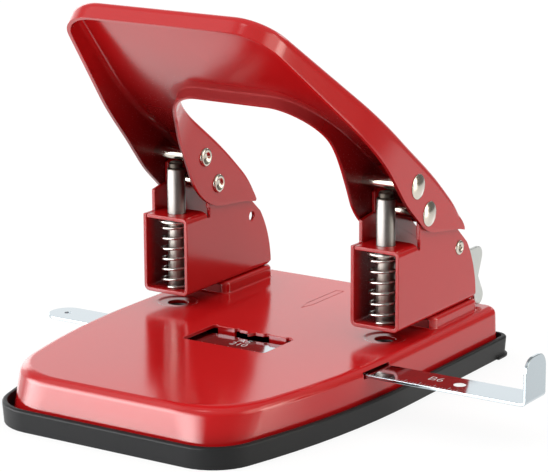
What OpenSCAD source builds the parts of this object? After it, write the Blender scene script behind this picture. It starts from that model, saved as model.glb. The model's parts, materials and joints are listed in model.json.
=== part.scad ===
// Heavy-duty two-hole punch, in millimetres: +X to the right, +Y to the rear, +Z up.
// The origin lies on the table, under the middle of the line between the two punches.

/* [Punching] */
// Distance between the axes of the two punches
hole_spacing = 80; // [76:1:96]
// Diameter of a punch
punch_d = 6; // [5:0.1:6.4]
// Height of the gap for the paper
paper_gap = 4.1; // [3.4:0.1:6]
// Punch line to the stop at the back of the paper
paper_stop = 14.8; // [12:0.1:18]
// Radial clearance of a punch in its guides and its die
guide_clearance = 0.05; // [0.02:0.01:0.1]
// Height of a punch tip above the underside of its tower
tip_rise = 0.2; // [0.1:0.1:0.6]
// Depth of the hollow in a punch tip
tip_hollow = 0.8; // [0.2:0.1:1.5]
// Diameter of the rounded top of a punch
punch_top_d = 4.6; // [4:0.1:4.8]
// Height of the rounded top of a punch
punch_top_h = 1.8; // [1:0.1:3]
// Gap between a punch and its drive pin
drive_gap = 0.1; // [0.05:0.05:0.3]
// Outer diameter of a die ring
die_d = 13; // [10:0.5:15]
// Height of a die ring
die_h = 3.5; // [2:0.5:5]
// Diameter of the dimple in the deck at a die
dimple_d = 14.4; // [10:0.2:16]
// Depth of the dimple
dimple_depth = 0.5; // [0.4:0.1:1.5]
// Diameter of the hole in the deck at a die
deck_hole_d = 6.6; // [6.5:0.1:7.4]

/* [Base] */
// Punch axis to the side of the base
base_margin = 15.6; // [14:0.1:25]
// Punch line to the front of the base
base_front = 96.3; // [80:0.1:120]
// Punch line to the rear of the base
base_rear = 55.5; // [53:0.5:70]
// Radius of the bowed sides ahead of the punch line
side_r = 270; // [200:5:400]
// Punch line to the start of the bowed sides
side_start = 10; // [0:1:20]
// Radius of the tray's front corners
front_corner_r = 16; // [8:0.5:25]
// Radius of the tray's rear corners
rear_corner_r = 4.5; // [4:0.5:12]
// Radius of the cover's front corners at the foot
cover_corner_r = 18; // [10:0.5:26]
// Radius of the cover's front corners at the deck
deck_corner_r = 24; // [10:0.5:30]
// Radius of the cover's rear corners
cover_rear_r = 4.6; // [4.2:0.1:10]
// Height of the rim of the tray
tray_h = 7; // [5:0.5:10]
// Wall of the tray
tray_wall = 1.6; // [1:0.1:2.5]
// Floor of the tray
tray_floor = 1.6; // [1:0.1:3]
// Lean of the tray's wall from its rim to its foot
tray_draft = 0.5; // [0:0.1:1]
// Depth of the finger lip at the rear foot of the tray
tray_lip = 0.9; // [0.6:0.1:4]
// Thickness of the finger lip
tray_lip_h = 1; // [0.8:0.1:2]
// Gap between the cover and the tray
tray_gap = 0.3; // [0.2:0.05:0.6]
// Height of the deck
deck_h = 17; // [15:0.5:22]
// Sheet of the base cover
base_t = 1.2; // [0.8:0.1:1.6]
// Outer radius of the fold round the deck
deck_fold_r = 2.8; // [2.5:0.1:5]
// Lean of the cover's walls over their height
cover_draft = 0.4; // [0:0.1:1]
// Lean of the cover's front wall over its height
front_lean = 1.4; // [0:0.1:3]

/* [Deck window] */
// Left side of the window
window_left = 14; // [10:0.5:20]
// Right side of the window
window_right = 17; // [10:0.5:20]
// Punch line to the front edge of the window
window_front = 34.7; // [33:0.1:40]
// Punch line to the rear edge of the window
window_rear = 17.2; // [12:0.1:18.4]
// Corner radius of the window
window_corner_r = 1.2; // [0.5:0.1:2]
// Height of the tabs bent down at the rear edge
window_tab_h = 3.6; // [2:0.1:5]
// Width of a tab
window_tab_w = 6.6; // [4:0.1:8]
// Pointer to the middle of a tab
window_tab_x = 9.8; // [7:0.1:10]
// Middle of the punch to the pointer that reads the gauge
pointer_x = 0.9; // [0:0.1:2]
// Length of the pointer
pointer_l = 2.4; // [1:0.1:4]
// Width of the pointer at its root
pointer_w = 3; // [2:0.1:5]

/* [Towers] */
// Width of a tower
tower_w = 17.6; // [16:0.1:20]
// Sheet of a tower
tower_t = 1.3; // [1:0.1:1.6]
// Outer bend radius of the tower sheet
tower_bend_r = 2; // [1.8:0.1:3]
// Punch axis to the front of a tower
tower_front = 6.8; // [6:0.1:10]
// Height of the box that guides the punch
tower_box_h = 26.2; // [22:0.1:30]
// Punch axis to the rear of the box top
tower_box_rear = 5.9; // [5:0.1:7]
// Punch axis to the rear of a tower
tower_rear = 43.2; // [40:0.1:46]
// Radius of the curved rear edge
tower_rear_r = 35.8; // [30:0.1:45]
// Radius of the ears round the pivot pin
ear_r = 6.6; // [5:0.1:7]
// Angle by which the edge under the handle falls away from it
ear_fall = 2; // [1:0.5:4]
// Punch axis to the front of the longer ear
ear_front = 1.8; // [0:0.1:4]
// Height of the longer ear's front corner
ear_front_h = 33.3; // [30:0.1:34.2]
// Width of the ledge under a tower
ledge_w = 18.6; // [18:0.1:22]
// Rear end of the ledge
ledge_rear = 44.2; // [42:0.1:45.4]
// Fold radius of the ledge
ledge_fold_r = 1.3; // [0.5:0.1:2]
// Diameter of the shank of a tower rivet
rivet_d = 3.5; // [2.5:0.1:4]
// Diameter of the head of a tower rivet
rivet_head_d = 5.8; // [5:0.1:7]
// Height of the head of a tower rivet
rivet_head_h = 1.1; // [0.6:0.1:1.6]
// Punch line to the front rivet
rivet_front = 20.5; // [20:0.5:24]
// Punch line to the rear rivet
rivet_rear = 35; // [30:0.5:38]
// Clearance round a fixed rivet or pin
press_clearance = 0.02; // [0.01:0.01:0.05]

/* [Springs] */
// Outer diameter of a spring
spring_d = 11.2; // [9:0.1:12]
// Wire of a spring
spring_wire = 1.1; // [0.8:0.1:1.3]
// Turns of a spring
spring_turns = 6.5; // [4:0.5:8]
// Gap at each end of a spring
spring_gap = 0.05; // [0.02:0.01:0.1]
// Outer diameter of a spring washer
washer_d = 11.8; // [10:0.1:13]
// Thickness of a spring washer
washer_t = 0.7; // [0.4:0.1:1.2]
// Outer diameter of a retaining clip
clip_d = 9; // [8:0.1:11]
// Thickness of a retaining clip
clip_t = 0.6; // [0.4:0.1:1]
// Depth of the clip's groove in the punch
clip_groove = 0.6; // [0.4:0.1:1]
// Width of the mouth of a clip
clip_mouth = 3.4; // [2:0.1:4]
// Gap between a clip and the top of the tower
clip_gap = 0.2; // [0.1:0.1:0.5]

/* [Handle] */
// Slope of the handle at rest
handle_slope = 39; // [36:0.5:42]
// Sheet of the handle
handle_t = 1.2; // [1:0.1:1.4]
// Gap between a tower and the handle's cheeks
cheek_gap = 0.2; // [0.1:0.05:0.4]
// Punch line to the pivot
pivot_back = 9.5; // [8.5:0.1:10.5]
// Height of the pivot above the foot of the towers
pivot_rise = 35.4; // [34:0.1:37]
// Pivot to the front of the handle, along it
handle_reach = 99.8; // [90:0.1:120]
// Pivot to the rear end of the handle, along it
handle_tail = 24; // [22:0.1:26]
// Pivot to the top of the plate, square to it
plate_rise = 10.8; // [10.6:0.1:14]
// Fall of the plate from its outer to its inner edge
plate_fall = 0.6; // [0:0.1:1]
// Pivot to the start of the rear end's curl
tail_bend = 11; // [8:0.5:14]
// Fall of the rear end's curl
tail_drop = 2.7; // [1:0.1:2.9]
// Outer fold radius
fold_out_r = 3.8; // [2:0.1:4.4]
// Fold radius round the handle's window
fold_in_r = 4.2; // [2:0.1:4.4]
// Pivot to the start of the taper
taper_start = 28; // [24:0.5:34]
// Angle of the tapered sides
taper_angle = 13.5; // [8:0.5:18]
// Radius of the bend into the taper
taper_r = 110; // [60:5:140]
// Radius of the front corners
handle_corner_r = 15; // [8:0.5:20]
// Pivot to the start of the window's rounding
window_start = 24; // [20:0.5:28]
// Pivot to the front of the handle's window
handle_window_front = 50.5; // [45:0.5:60]
// Half width of the straight front edge of the window
handle_window_half = 13; // [6:0.5:18]
// Depth of the front flange's edge above the pivot
flange_front = 4.2; // [2:0.1:6]

/* [Pins and latch] */
// Diameter of the handle's pins
pin_d = 4.2; // [3.6:0.1:4.6]
// Running clearance of a pin, radial
pin_clearance = 0.05; // [0.02:0.01:0.1]
// Diameter of a pin head
pin_head_d = 8; // [6:0.1:9]
// Height of a pin head
pin_head_h = 1.1; // [0.6:0.1:1.5]
// Diameter of the rolled end of a pin
pin_roll_d = 6.3; // [5.6:0.1:7]
// Height of the rolled end
pin_roll_h = 0.75; // [0.5:0.05:1]
// Pivot to the drive pin, along the handle
drive_reach = 12; // [11:0.1:13]
// Pivot to the drive pin, square to the handle
drive_rise = 3.3; // [2.5:0.1:4]
// Sheet of the latch
latch_t = 1.2; // [0.8:0.1:1.6]
// Gap between the latch and its neighbours
latch_gap = 0.3; // [0.2:0.05:0.5]
// Punch line to the latch pivot
latch_pivot_back = 31.5; // [30:0.1:33]
// Height of the latch pivot above the foot of the towers
latch_pivot_rise = 19.5; // [18.5:0.1:21]
// Shank of the latch rivet
latch_rivet_d = 3.1; // [2.2:0.1:3.2]
// Rolled end of the latch rivet
latch_roll_d = 4.8; // [4.2:0.1:5]
// Radius of the latch round its pivot
latch_hub_r = 4; // [3.5:0.1:5]
// Radius of the upper lobe of the latch
latch_upper_r = 3.2; // [2.5:0.1:4]
// Radius of the lower lobe of the latch
latch_lower_r = 2.9; // [2:0.1:3]
// Latch pivot back to the upper lobe
latch_reach = 15.5; // [15.2:0.1:18]
// Latch pivot down to the upper lobe
latch_upper_drop = 6.4; // [6:0.1:7.4]
// Distance by which the lower lobe stands further back
latch_kick = 1.1; // [0.5:0.1:2]
// Gap between the latch and the deck
latch_deck_gap = 0.5; // [0.4:0.1:2]

/* [Gauge] */
// Width of the gauge strip
gauge_w = 12.6; // [10:0.1:13]
// Thickness of the gauge strip
gauge_t = 1; // [0.8:0.1:1.2]
// Punch line to the middle of the strip
gauge_mid = 25.3; // [25:0.1:26]
// Middle of the punch to the hole at the left end
gauge_left = 66.7; // [60:0.1:90]
// Middle of the punch to the face of the stop
gauge_right = 106.5; // [90:0.1:140]
// Hole at the left end
gauge_hole_d = 2; // [1.5:0.1:4]
// Height of the stop above the strip's underside
gauge_stop_h = 14.4; // [8:0.1:25]
// Corner radius of the stop
gauge_stop_r = 4.5; // [2:0.1:5]
// Outer radius of the bend
gauge_bend_r = 1.6; // [1.3:0.1:3]
// Gap between the strip and the deck
gauge_drop = 0.8; // [0.4:0.1:1.2]
// Clearance of the strip in its slots
gauge_clearance = 0.7; // [0.3:0.1:1]
// Room over the strip in its slots
slot_room = 0.6; // [0.3:0.1:0.7]
// Sheet of the leaf bridges
leaf_t = 0.6; // [0.4:0.1:0.8]
// Width of a leaf bridge
leaf_w = 8; // [5:0.5:10]
// Middle of the punch to a leaf bridge
leaf_x = 27; // [24:0.5:28]
// Length of a foot of a leaf bridge
leaf_foot = 5; // [3:0.5:6]
// Gap between the strip and a leaf bridge
leaf_gap = 0.05; // [0.02:0.01:0.1]

/* [Hidden] */
$fn = 48;

paint_red = [0.78, 0.06, 0.09];
tray_black = [0.13, 0.13, 0.14];
steel = [0.72, 0.73, 0.75];
chrome = [0.85, 0.87, 0.9];
dark_steel = [0.35, 0.35, 0.37];

// Places that follow from the driving sizes
punch_x = hole_spacing / 2;
base_half = punch_x + base_margin;
cover_inset = tray_wall + tray_draft + tray_gap;
cover_foot = tray_floor + tray_gap;
deck_under = deck_h - base_t;
die_top = deck_h - dimple_depth - base_t;
tower_foot = deck_h + paper_gap;
tower_floor = tower_foot + tower_t;
box_top = tower_foot + tower_box_h;
pivot_z = tower_foot + pivot_rise;
drive_y = pivot_back - drive_reach * cos(handle_slope) + drive_rise * sin(handle_slope);
drive_z = pivot_z + drive_reach * sin(handle_slope) + drive_rise * cos(handle_slope);
punch_top = drive_z - pin_d / 2 - drive_gap;
punch_tip = tower_foot + tip_rise;
clip_top = box_top - tower_t - clip_gap;
washer_top = clip_top - clip_t;
spring_top = washer_top - washer_t - spring_gap;
spring_foot = tower_floor + spring_gap;
arm_out = punch_x + tower_w / 2 + cheek_gap + handle_t;
arm_in = punch_x - tower_w / 2 - cheek_gap - handle_t;
gauge_top = deck_under - gauge_drop;
gauge_bottom = gauge_top - gauge_t;
latch_x = punch_x + tower_w / 2 - tower_t - latch_gap - latch_t;
latch_z = tower_foot + latch_pivot_rise;
cut = 1;

// Points of an arc round [x, y], from one angle to another
function arc(x, y, r, from, to, steps) =
  [for (i = [0:steps]) let (a = from + (to - from) * i / steps) [x + r * cos(a), y + r * sin(a)]];

// Outline of the base, drawn in by an inset and further at the front by a lean,
// counterclockwise from the middle of the front
function base_outline(inset, r_front, r_rear, lean = 0) =
  let (half = base_half - inset, front = base_front - inset - lean, rear = base_rear - inset,
       r_side = side_r - inset,
       side_mid = half - r_side,
       drop = front - r_front - side_start,
       swing = asin(drop / (r_side - r_front)),
       corner_x = side_mid + sqrt(pow(r_side - r_front, 2) - pow(drop, 2)),
       right = concat(arc(corner_x, r_front - front, r_front, -90, -swing, 8),
                      [for (i = [1:8]) let (a = swing * (i / 8 - 1))
                        [side_mid + r_side * cos(a), r_side * sin(a) - side_start]],
                      arc(half - r_rear, rear - r_rear, r_rear, 0, 90, 5)))
  concat(right, [for (i = [len(right) - 1:-1:0]) [-right[i][0], right[i][1]]]);

// Outline of the tray at an inset
function tray_outline(inset) = base_outline(inset, front_corner_r - inset, rear_corner_r - inset);

// Outline of a rectangle with round corners
function round_rect(x0, x1, y0, y1, r) =
  concat(arc(x1 - r, y0 + r, r, -90, 0, 5), arc(x1 - r, y1 - r, r, 0, 90, 5),
         arc(x0 + r, y1 - r, r, 90, 180, 5), arc(x0 + r, y0 + r, r, 180, 270, 5));

// A ring of points at one height
function level(outline, z) = [for (p = outline) [p[0], p[1], z]];

// A closed body through rings of points that run counterclockwise against the way of travel
module loft(rings) {
  n = len(rings[0]);
  last = len(rings) - 1;
  sides = [for (i = [0:last - 1], j = [0:n - 1])
    let (k = (j + 1) % n) each [[i * n + j, (i + 1) * n + j, (i + 1) * n + k],
                                [i * n + j, (i + 1) * n + k, i * n + k]]];
  polyhedron(points = [for (ring = rings) each ring],
             faces = concat([[for (j = [0:n - 1]) j]], sides,
                            [[for (j = [n - 1:-1:0]) last * n + j]]),
             convexity = 8);
}

// A profile in Y and Z, drawn out along X
module along_x(from, length) {
  translate([from, 0, 0]) rotate([90, 0, 90]) linear_extrude(length) children();
}

// A profile in X and Z, drawn out along Y
module along_y(from, length) {
  translate([0, from + length, 0]) rotate([90, 0, 0]) linear_extrude(length) children();
}

// Body of the base cover at a depth under its skin: drafted walls that fold up to the deck
module cover_body(depth, foot) {
  fold = deck_fold_r - depth;
  // Front corners grow rounder from the foot to the deck
  ring = function (inset, z)
    let (rise = (z - cover_foot) / (deck_h - cover_foot),
         lean = front_lean * min(1, (z - cover_foot) / (deck_h - deck_fold_r - cover_foot)),
         r_front = cover_corner_r + (deck_corner_r - cover_corner_r) * rise - depth,
         r_rear = cover_rear_r - depth - min(inset, fold))
    level(base_outline(cover_inset + depth + inset, r_front, r_rear, lean), z);
  loft(concat([ring(0, foot)],
              [for (a = [0:18:90])
                ring(cover_draft + fold * (1 - cos(a)), deck_h - deck_fold_r + fold * sin(a))]));
}

module chip_tray() {
  rim_round = 0.5;
  color(tray_black) difference() {
    union() {
      loft([level(tray_outline(tray_draft), 0),
            level(tray_outline(0), tray_h - rim_round),
            level(tray_outline(rim_round), tray_h)]);
      linear_extrude(tray_lip_h) intersection() {
        polygon(tray_outline(tray_draft - tray_lip));
        translate([-base_half * 2, base_rear - 2 * rear_corner_r]) square([base_half * 4, base_rear]);
      }
    }
    loft([level(tray_outline(tray_wall + tray_draft * (1 - tray_floor / tray_h)), tray_floor),
          level(tray_outline(tray_wall), tray_h),
          level(tray_outline(tray_wall), tray_h + cut)]);
  }
}

// Plan of the deck window, with the tabs and the pointer left standing at its rear edge
module window_cut() {
  mid = pointer_x;
  relief = 1.8;
  difference() {
    union() {
      linear_extrude(deck_h) polygon(round_rect(-window_left, window_right,
                                                -window_front, -window_rear, window_corner_r));
      for (side = [-1, 1], end = [-1, 1])
        translate([mid + side * window_tab_x + end * (window_tab_w + relief) / 2, -window_rear, 0])
          cylinder(d = relief, h = deck_h);
    }
    linear_extrude(deck_h)
      polygon([[mid - pointer_w / 2, -window_rear + cut], [mid - pointer_w / 2, -window_rear],
               [mid, -window_rear - pointer_l], [mid + pointer_w / 2, -window_rear],
               [mid + pointer_w / 2, -window_rear + cut]]);
  }
}

// Tab bent down from the deck behind the window
module window_tab(x) {
  translate([x - window_tab_w / 2, -window_rear, deck_h - window_tab_h])
    cube([window_tab_w, base_t, window_tab_h - base_t / 2]);
}

// Raised seat of a tower, drawn up from the deck
module ledge_block(inset, foot, top, fold) {
  half = ledge_w / 2 - inset;
  front = paper_stop + inset;
  rear = ledge_rear - inset;
  corner = 3 - inset;
  loft(concat([level(round_rect(-half, half, front, rear, corner), foot)],
              [for (a = [0:30:90]) let (d = fold * (1 - cos(a)))
                level(round_rect(-half + d, half - d, front + d, rear - d, corner - d),
                      top - fold + fold * sin(a))]));
}

module base_cover() {
  slot_foot = gauge_bottom - gauge_clearance / 2;
  color(paint_red) difference() {
    union() {
      difference() {
        cover_body(0, cover_foot);
        cover_body(base_t, cover_foot - cut);
      }
      for (side = [-1, 1]) translate([side * punch_x, 0, 0]) {
        translate([0, 0, die_top])
          cylinder(d1 = dimple_d - base_t, d2 = dimple_d + base_t, h = dimple_depth + base_t / 2);
        ledge_block(0, deck_h - base_t / 2, tower_foot, ledge_fold_r);
      }
      for (side = [-1, 1]) window_tab(pointer_x + side * window_tab_x);
    }
    for (side = [-1, 1]) translate([side * punch_x, 0, 0]) {
      translate([0, 0, deck_h - dimple_depth])
        cylinder(d1 = dimple_d - 3, d2 = dimple_d, h = dimple_depth + 0.001);
      cylinder(d = deck_hole_d, h = deck_h + cut);
      ledge_block(base_t, tray_h, tower_foot - base_t, ledge_fold_r);
      for (y = [rivet_front, rivet_rear])
        translate([0, y, deck_h]) cylinder(d = rivet_d + 2 * press_clearance, h = paper_gap + cut);
    }
    translate([0, 0, deck_under - base_t]) window_cut();
    for (side = [-1, 1])
      translate([side * (base_half - cover_inset) - 2 * deck_fold_r,
                 -gauge_mid - gauge_w / 2 - gauge_clearance, slot_foot])
        cube([4 * deck_fold_r, gauge_w + 2 * gauge_clearance, gauge_top + slot_room - slot_foot]);
  }
}

module die_ring() {
  color(dark_steel) translate([0, 0, die_top - die_h]) difference() {
    cylinder(d = die_d, h = die_h);
    translate([0, 0, -cut]) cylinder(d = punch_d + 2 * guide_clearance, h = die_h + 2 * cut);
  }
}

module left_die() { translate([-punch_x, 0, 0]) die_ring(); }
module right_die() { translate([punch_x, 0, 0]) die_ring(); }

// Section of the box: the sheet wraps round the foot and the top folds over from the right wall
module box_section() {
  half = tower_w / 2;
  seam = 0.15;
  inner_r = tower_bend_r - tower_t;
  difference() {
    polygon(concat(arc(half - tower_bend_r, tower_bend_r, tower_bend_r, -90, 0, 6),
                   arc(half - tower_bend_r, tower_box_h - tower_bend_r, tower_bend_r, 0, 90, 6),
                   [[-half, tower_box_h]],
                   arc(tower_bend_r - half, tower_bend_r, tower_bend_r, 180, 270, 6)));
    polygon(concat(arc(half - tower_bend_r, tower_bend_r, inner_r, -90, 0, 4),
                   arc(half - tower_bend_r, tower_box_h - tower_bend_r, inner_r, 0, 90, 4),
                   [[tower_t - half, tower_box_h - tower_t]],
                   arc(tower_bend_r - half, tower_bend_r, inner_r, 180, 270, 4)));
    translate([tower_t - half, tower_box_h - tower_t - cut]) square([seam, tower_t + 2 * cut]);
  }
}

// Section of the open channel behind the box
module channel_section(height) {
  half = tower_w / 2;
  inner_r = tower_bend_r - tower_t;
  polygon(concat([[half, height]],
                 [[half - tower_t, height]],
                 arc(half - tower_bend_r, tower_bend_r, inner_r, 0, -90, 4),
                 arc(tower_bend_r - half, tower_bend_r, inner_r, 270, 180, 4),
                 [[tower_t - half, height], [-half, height]],
                 arc(tower_bend_r - half, tower_bend_r, tower_bend_r, 180, 270, 6),
                 arc(half - tower_bend_r, tower_bend_r, tower_bend_r, -90, 0, 6)));
}

// Side view of the channel: the ear, the edge under the handle and the curved rear edge
module ear_profile() {
  mid_y = tower_rear - tower_rear_r;
  top_angle = 90 - handle_slope - ear_fall;
  // Place on the curved rear edge where the straight edge under the handle runs out
  reach = (pivot_back - mid_y) * cos(top_angle) + pivot_rise * sin(top_angle) + ear_r;
  end_angle = top_angle - acos(min(1, reach / tower_rear_r));
  ear_front_angle = acos((tower_box_rear - pivot_back) / ear_r);
  polygon(concat([[tower_box_rear, 0], [tower_rear - 2, 0]],
                 arc(mid_y, 0, tower_rear_r, 2.5, end_angle, 12),
                 arc(pivot_back, pivot_rise, ear_r, top_angle, ear_front_angle, 8)));
}

module tower_body() {
  half = tower_w / 2;
  relief = 1.2;
  tall = pivot_rise + 2 * ear_r;
  difference() {
    union() {
      along_y(-tower_front, tower_front + tower_box_rear) box_section();
      intersection() {
        along_y(tower_box_rear, tower_rear) channel_section(tall);
        along_x(-tower_w, 2 * tower_w) ear_profile();
      }
      along_x(-half, tower_t)
        polygon([[-ear_front, tower_box_h - tower_t], [tower_box_rear + cut, tower_box_h - tower_t],
                 [tower_box_rear + cut, ear_front_h + 1.2], [pivot_back - ear_r, ear_front_h + 0.9],
                 [-ear_front, ear_front_h]]);
    }
    translate([half - 2 * tower_t, tower_box_rear - relief / 2, tower_box_h - tower_bend_r])
      cube([3 * tower_t, relief, tower_bend_r + relief]);
    translate([0, 0, -cut])
      cylinder(d = punch_d + 2 * guide_clearance, h = tower_box_h + 2 * cut);
    translate([-tower_w, pivot_back, pivot_rise])
      rotate([0, 90, 0]) cylinder(d = pin_d + 2 * pin_clearance, h = 2 * tower_w);
    translate([0, latch_pivot_back, latch_pivot_rise])
      rotate([0, 90, 0]) cylinder(d = latch_rivet_d + 2 * press_clearance, h = tower_w);
    for (y = [rivet_front, rivet_rear])
      translate([0, y, -cut]) cylinder(d = rivet_d + 2 * press_clearance, h = tower_t + 2 * cut);
  }
}

module left_tower() { color(paint_red) translate([-punch_x, 0, tower_foot]) tower_body(); }
module right_tower() { color(paint_red) translate([punch_x, 0, tower_foot]) tower_body(); }

// Half section of a domed head that stands on the line y = 0
module dome_profile(d, h) {
  ball = (d * d / 4 + h * h) / (2 * h);
  intersection() {
    translate([0, h - ball]) circle(r = ball, $fn = 96);
    square([d, h + cut]);
  }
}

module tower_rivets() {
  grip = tower_t + base_t;
  color(steel) for (side = [-1, 1], y = [rivet_front, rivet_rear])
    translate([side * punch_x, y, tower_floor]) {
      rotate_extrude() dome_profile(rivet_head_d, rivet_head_h);
      translate([0, 0, -grip - rivet_head_h / 2]) cylinder(d = rivet_d, h = grip + rivet_head_h);
      translate([0, 0, -grip]) rotate([180, 0, 0]) rotate_extrude() dome_profile(rivet_head_d, rivet_head_h);
    }
}

module punch_body() {
  r = punch_d / 2;
  groove_r = r - clip_groove;
  groove_slack = 0.1;
  shoulder = punch_top - punch_top_h;
  bevel = 0.5;
  color(steel) rotate_extrude()
    polygon([[0, punch_tip + tip_hollow], [r, punch_tip],
             [r, washer_top], [groove_r, washer_top],
             [groove_r, clip_top + groove_slack], [r, clip_top + groove_slack],
             [r, shoulder - bevel], [punch_top_d / 2, shoulder],
             [punch_top_d / 2, punch_top - bevel], [punch_top_d / 2 - bevel, punch_top],
             [0, punch_top]]);
}

module left_punch() { translate([-punch_x, 0, 0]) punch_body(); }
module right_punch() { translate([punch_x, 0, 0]) punch_body(); }

// Ring of the wire at a turning angle: its plane holds the radius and a second direction
function wire_ring(angle, z, along, up) =
  let (out = [cos(angle), sin(angle), 0], round = [-sin(angle), cos(angle), 0],
       second = along * round + [0, 0, up])
  [for (i = [0:5]) (spring_d - spring_wire) / 2 * out + [0, 0, z]
    + spring_wire / 2 * (cos(60 * i) * out + sin(60 * i) * second)];

// The wire stands up from its seat, winds round the punch and stands up to the washer
module spring_coil() {
  steps = round(8 * spring_turns);
  low = spring_foot + spring_wire;
  high = spring_top - spring_wire;
  mean_r = (spring_d - spring_wire) / 2;
  height = function (i) low + (high - low) * i / steps;
  path = [for (i = [0:steps]) [mean_r * cos(45 * i), mean_r * sin(45 * i), height(i)]];
  least = min([for (i = [0:steps], j = [i + 4:steps]) norm(path[i] - path[j])]) - spring_wire;
  echo("least gap of a spring to itself", least);
  color(steel) loft(concat(
    [wire_ring(0, spring_foot, 1, 0), wire_ring(0, low, 1, -1)],
    [for (i = [1:steps - 1]) wire_ring(45 * i, height(i), 0, -1)],
    [wire_ring(45 * steps, high, 1, -1), wire_ring(45 * steps, spring_top, 1, 0)]));
}

module left_spring() { translate([-punch_x, 0, 0]) spring_coil(); }
module right_spring() { translate([punch_x, 0, 0]) spring_coil(); }

module washer_ring() {
  color(steel) translate([0, 0, washer_top - washer_t]) difference() {
    cylinder(d = washer_d, h = washer_t);
    translate([0, 0, -cut]) cylinder(d = punch_d + 2 * guide_clearance, h = washer_t + 2 * cut);
  }
}

module left_washer() { translate([-punch_x, 0, 0]) washer_ring(); }
module right_washer() { translate([punch_x, 0, 0]) washer_ring(); }

// Retaining clip with its mouth to the rear
module clip_ring() {
  groove_d = punch_d - 2 * clip_groove;
  color(dark_steel) translate([0, 0, washer_top]) difference() {
    cylinder(d = clip_d, h = clip_t);
    translate([0, 0, -cut]) cylinder(d = groove_d + 2 * press_clearance, h = clip_t + 2 * cut);
    translate([-clip_mouth / 2, 0, -cut]) cube([clip_mouth, clip_d, clip_t + 2 * cut]);
  }
}

module left_clip() { translate([-punch_x, 0, 0]) clip_ring(); }
module right_clip() { translate([punch_x, 0, 0]) clip_ring(); }

// Lower edge of the handle's outer flange: distance along the handle and height over the pivot
outer_edge = [[-handle_tail, 6.6], [-21, 5.3], [-13, 0.6], [-5, -3.9], [0, -5], [6, -4.9], [14, -4.5],
              [22, -3], [30, -1.4], [40, -0.2], [56, 1.1], [handle_reach, flange_front]];
// Lower edge of the flange round the handle's window
inner_edge = [[-handle_tail, 5.9], [-15.5, 1], [-6.6, -4.9], [-1.8, -7.2], [5, -8.1], [12, -6.9], [18, -4],
              [26, -0.2], [34, 3.6], [40, 4.8], [handle_window_front, 5.3]];

// Smooth curve through a list of points
function slope_at(list, i) =
  let (a = max(i - 1, 0), b = min(i + 1, len(list) - 1)) (list[b][1] - list[a][1]) / (list[b][0] - list[a][0]);
function span(list, u, i = 0) = (i >= len(list) - 2 || u < list[i + 1][0]) ? i : span(list, u, i + 1);
function curve(list, u) =
  let (i = span(list, u), h = list[i + 1][0] - list[i][0], s = (u - list[i][0]) / h)
  list[i][1] * (1 + 2 * s) * pow(1 - s, 2) + list[i + 1][1] * s * s * (3 - 2 * s)
  + h * (slope_at(list, i) * s * pow(1 - s, 2) - slope_at(list, i + 1) * s * s * (1 - s));

// Top of the plate along the handle, with the curl of its rear end
function plate_top(u) =
  plate_rise - tail_drop * pow(max(0, -u - tail_bend) / (handle_tail - tail_bend), 2);

// Radius of a fold, held to half the flange where the flange runs out
function fold_radius(r, flange) = min(r, max(handle_t * 1.25, flange / 2));

// One section of the pressed sheet, from the outer flange over the plate to the inner flange and back
function sheet_ring(outer, outward, inner, inward) =
  let (low_out = curve(outer_edge, outer[1]), low_in = curve(inner_edge, inner[1]),
       top_out = plate_top(outer[1]), top_in = plate_top(inner[1]) - plate_fall,
       r_out = fold_radius(fold_out_r, top_out - low_out),
       r_in = fold_radius(fold_in_r, top_in - low_in),
       at = function (p, away, depth, n) [p[0] - away[0] * depth, away[1] * depth - p[1], n],
       fold = function (p, away, skin, r, top, a)
         at(p, away, skin + (r - skin) * (1 - cos(a)), top - r + (r - skin) * sin(a)))
  concat([at(outer, outward, 0, low_out)],
         [for (a = [0:22.5:90]) fold(outer, outward, 0, r_out, top_out, a)],
         [for (a = [90:-22.5:0]) fold(inner, inward, 0, r_in, top_in, a)],
         [at(inner, inward, 0, low_in), at(inner, inward, handle_t, low_in)],
         [for (a = [0:45:90]) fold(inner, inward, handle_t, r_in, top_in, a)],
         [for (a = [90:-45:0]) fold(outer, outward, handle_t, r_out, top_out, a)],
         [at(outer, outward, handle_t, low_out)]);

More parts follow.
